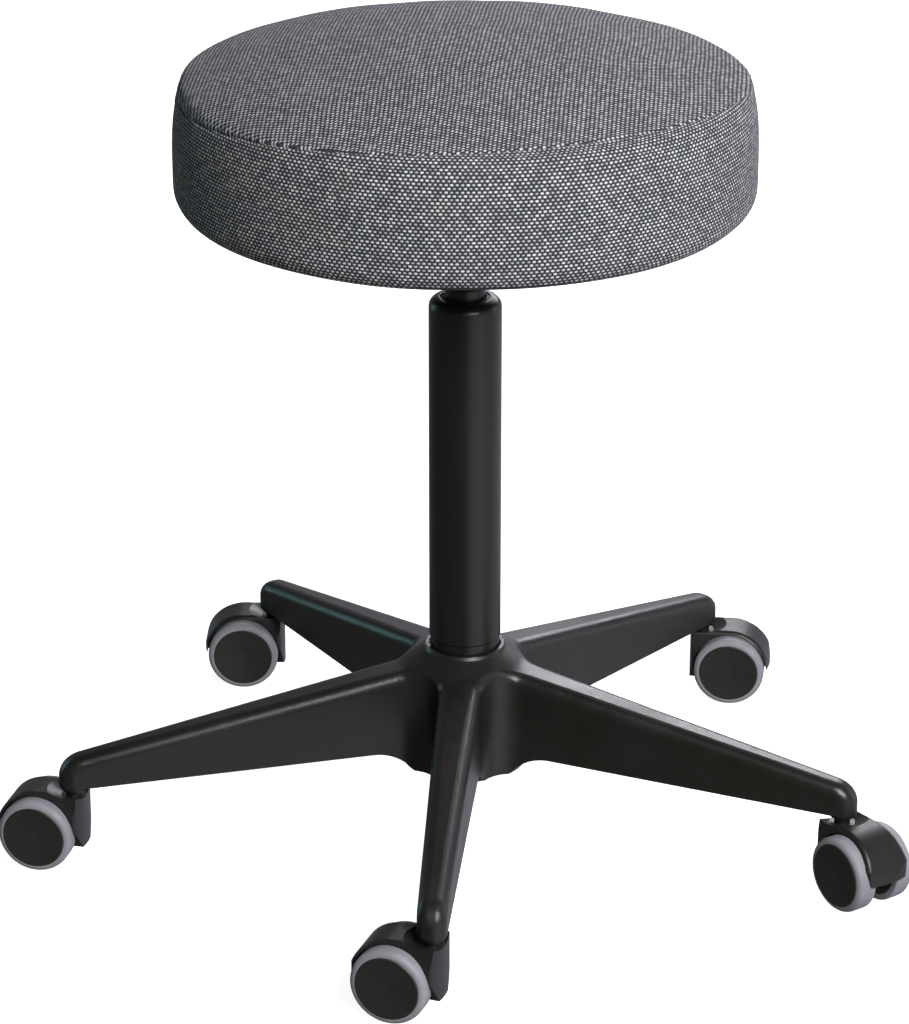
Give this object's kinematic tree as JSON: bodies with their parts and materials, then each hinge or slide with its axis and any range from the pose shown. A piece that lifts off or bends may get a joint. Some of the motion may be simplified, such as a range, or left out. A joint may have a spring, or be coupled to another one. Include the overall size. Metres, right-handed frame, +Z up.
{
  "type": "swivel stool",
  "caption": "Height-adjustable swivel stool: round upholstered seat on a gas-spring column, moulded star base and hooded twin-wheel castors.",
  "frame": {"origin": "on the floor, under the axis of the column", "axes": "+Z up along the column, one arm of the base along -Y, towards the front"},
  "size_m": [0.6317, 0.5528, 0.577],
  "materials": {
    "base_nylon": "fine grained black nylon",
    "hood_plastic": "satin black plastic",
    "disc_plastic": "satin black plastic",
    "soft_tyre": "soft light grey tread",
    "column_paint": "semi-gloss black powder coat",
    "spring_paint": "gloss black paint",
    "black_steel": "black e-coat",
    "bush_plastic": "black acetal",
    "plain_steel": "bright steel",
    "zinc_steel": "zinc plated",
    "chrome_rod": "ground and chromed",
    "buffer_rubber": "black rubber",
    "plywood": "birch plywood",
    "foam": "open cell foam",
    "seat_cloth": "dark woven cloth with light flecks",
    "dust_cloth": "black non-woven",
    "grip_plastic": "black plastic"
  },
  "bodies": {
    "base": {"star_base": "base_nylon", "column_tube": "column_paint", "guide_bush": "bush_plastic", "bearing_lower_race": "plain_steel", "bearing_balls": "plain_steel", "castor_stems": "black_steel", "snap_rings": "plain_steel"},
    "swivel": {"bearing_upper_race": "plain_steel", "piston_rod": "chrome_rod", "piston": "plain_steel", "rubber_buffer": "buffer_rubber", "rod_clip": "plain_steel"},
    "seat": {"gas_cylinder": "spring_paint", "rod_guide": "plain_steel", "socket_cone": "black_steel", "seat_plate": "black_steel", "plate_bolts": "zinc_steel", "plate_washers": "zinc_steel", "t_nuts": "zinc_steel", "lever_bracket": "black_steel", "pivot_pin": "zinc_steel", "seat_board": "plywood", "seat_foam": "foam", "cover_top_panel": "seat_cloth", "cover_side_band": "seat_cloth", "dust_cover": "dust_cloth", "staples": "zinc_steel"},
    "lever": {"release_lever": "black_steel", "lever_grip": "grip_plastic"},
    "release_valve": {"release_pin": "plain_steel"},
    "castor_1": {"castor_hood_1": "hood_plastic", "castor_axle_1": "plain_steel"},
    "wheel_1_left": {"wheel_core_1_left": "disc_plastic", "tyre_1_left": "soft_tyre"},
    "wheel_1_right": {"wheel_core_1_right": "disc_plastic", "tyre_1_right": "soft_tyre"},
    "castor_2": {"castor_hood_2": "hood_plastic", "castor_axle_2": "plain_steel"},
    "wheel_2_left": {"wheel_core_2_left": "disc_plastic", "tyre_2_left": "soft_tyre"},
    "wheel_2_right": {"wheel_core_2_right": "disc_plastic", "tyre_2_right": "soft_tyre"},
    "castor_3": {"castor_hood_3": "hood_plastic", "castor_axle_3": "plain_steel"},
    "wheel_3_left": {"wheel_core_3_left": "disc_plastic", "tyre_3_left": "soft_tyre"},
    "wheel_3_right": {"wheel_core_3_right": "disc_plastic", "tyre_3_right": "soft_tyre"},
    "castor_4": {"castor_hood_4": "hood_plastic", "castor_axle_4": "plain_steel"},
    "wheel_4_left": {"wheel_core_4_left": "disc_plastic", "tyre_4_left": "soft_tyre"},
    "wheel_4_right": {"wheel_core_4_right": "disc_plastic", "tyre_4_right": "soft_tyre"},
    "castor_5": {"castor_hood_5": "hood_plastic", "castor_axle_5": "plain_steel"},
    "wheel_5_left": {"wheel_core_5_left": "disc_plastic", "tyre_5_left": "soft_tyre"},
    "wheel_5_right": {"wheel_core_5_right": "disc_plastic", "tyre_5_right": "soft_tyre"}
  },
  "joints": [
    {"name": "column_swivel", "type": "hinge", "parent": "base", "child": "swivel", "pos_m": [0, 0, 0.06], "axis": [0, 0, 1], "continuous": true},
    {"name": "seat_lift", "type": "slide", "parent": "swivel", "child": "seat", "axis": [0, 0, 1], "range_m": [0, 0.195]},
    {"name": "lever_lift", "type": "hinge", "parent": "seat", "child": "lever", "pos_m": [0.024, 0, 0.445], "axis": [0, -1, 0], "range_deg": [0, 4], "stiffness_Nm_per_rad": 1},
    {"name": "valve_press", "type": "slide", "parent": "seat", "child": "release_valve", "axis": [0, 0, -1], "range_m": [0, 0.0018], "stiffness_N_per_m": 500},
    {"name": "castor_swivel_1", "type": "hinge", "parent": "base", "child": "castor_1", "pos_m": [0, -0.2795, 0.045], "axis": [0, 0, 1], "continuous": true},
    {"name": "wheel_spin_1_left", "type": "hinge", "parent": "castor_1", "child": "wheel_1_left", "pos_m": [-0.02159, -0.27315, 0.0265], "axis": [-0.2823, -0.9593, 0], "continuous": true},
    {"name": "wheel_spin_1_right", "type": "hinge", "parent": "castor_1", "child": "wheel_1_right", "pos_m": [-0.02159, -0.27315, 0.0265], "axis": [-0.2823, -0.9593, 0], "continuous": true},
    {"name": "castor_swivel_2", "type": "hinge", "parent": "base", "child": "castor_2", "pos_m": [0.26582, -0.08637, 0.045], "axis": [0, 0, 1], "continuous": true},
    {"name": "wheel_spin_2_left", "type": "hinge", "parent": "castor_2", "child": "wheel_2_left", "pos_m": [0.27998, -0.10386, 0.0265], "axis": [0.7771, 0.6293, 0], "continuous": true},
    {"name": "wheel_spin_2_right", "type": "hinge", "parent": "castor_2", "child": "wheel_2_right", "pos_m": [0.27998, -0.10386, 0.0265], "axis": [0.7771, 0.6293, 0], "continuous": true},
    {"name": "castor_swivel_3", "type": "hinge", "parent": "base", "child": "castor_3", "pos_m": [0.16429, 0.22612, 0.045], "axis": [0, 0, 1], "continuous": true},
    {"name": "wheel_spin_3_left", "type": "hinge", "parent": "castor_3", "child": "wheel_3_left", "pos_m": [0.18674, 0.22467, 0.0265], "axis": [0.0645, 0.9979, 0], "continuous": true},
    {"name": "wheel_spin_3_right", "type": "hinge", "parent": "castor_3", "child": "wheel_3_right", "pos_m": [0.18674, 0.22467, 0.0265], "axis": [0.0645, 0.9979, 0], "continuous": true},
    {"name": "castor_swivel_4", "type": "hinge", "parent": "base", "child": "castor_4", "pos_m": [-0.16429, 0.22612, 0.045], "axis": [0, 0, 1], "continuous": true},
    {"name": "wheel_spin_4_left", "type": "hinge", "parent": "castor_4", "child": "wheel_4_left", "pos_m": [-0.18675, 0.22482, 0.0265], "axis": [0.0576, -0.9983, 0], "continuous": true},
    {"name": "wheel_spin_4_right", "type": "hinge", "parent": "castor_4", "child": "wheel_4_right", "pos_m": [-0.18675, 0.22482, 0.0265], "axis": [0.0576, -0.9983, 0], "continuous": true},
    {"name": "castor_swivel_5", "type": "hinge", "parent": "base", "child": "castor_5", "pos_m": [-0.26582, -0.08637, 0.045], "axis": [0, 0, 1], "continuous": true},
    {"name": "wheel_spin_5_left", "type": "hinge", "parent": "castor_5", "child": "wheel_5_left", "pos_m": [-0.28799, -0.08254, 0.0265], "axis": [-0.1702, -0.9854, 0], "continuous": true},
    {"name": "wheel_spin_5_right", "type": "hinge", "parent": "castor_5", "child": "wheel_5_right", "pos_m": [-0.28799, -0.08254, 0.0265], "axis": [-0.1702, -0.9854, 0], "continuous": true}
  ],
  "couplings": [
    {"joint": "valve_press", "follows": "lever_lift", "m_per_rad": 0.025}
  ]
}
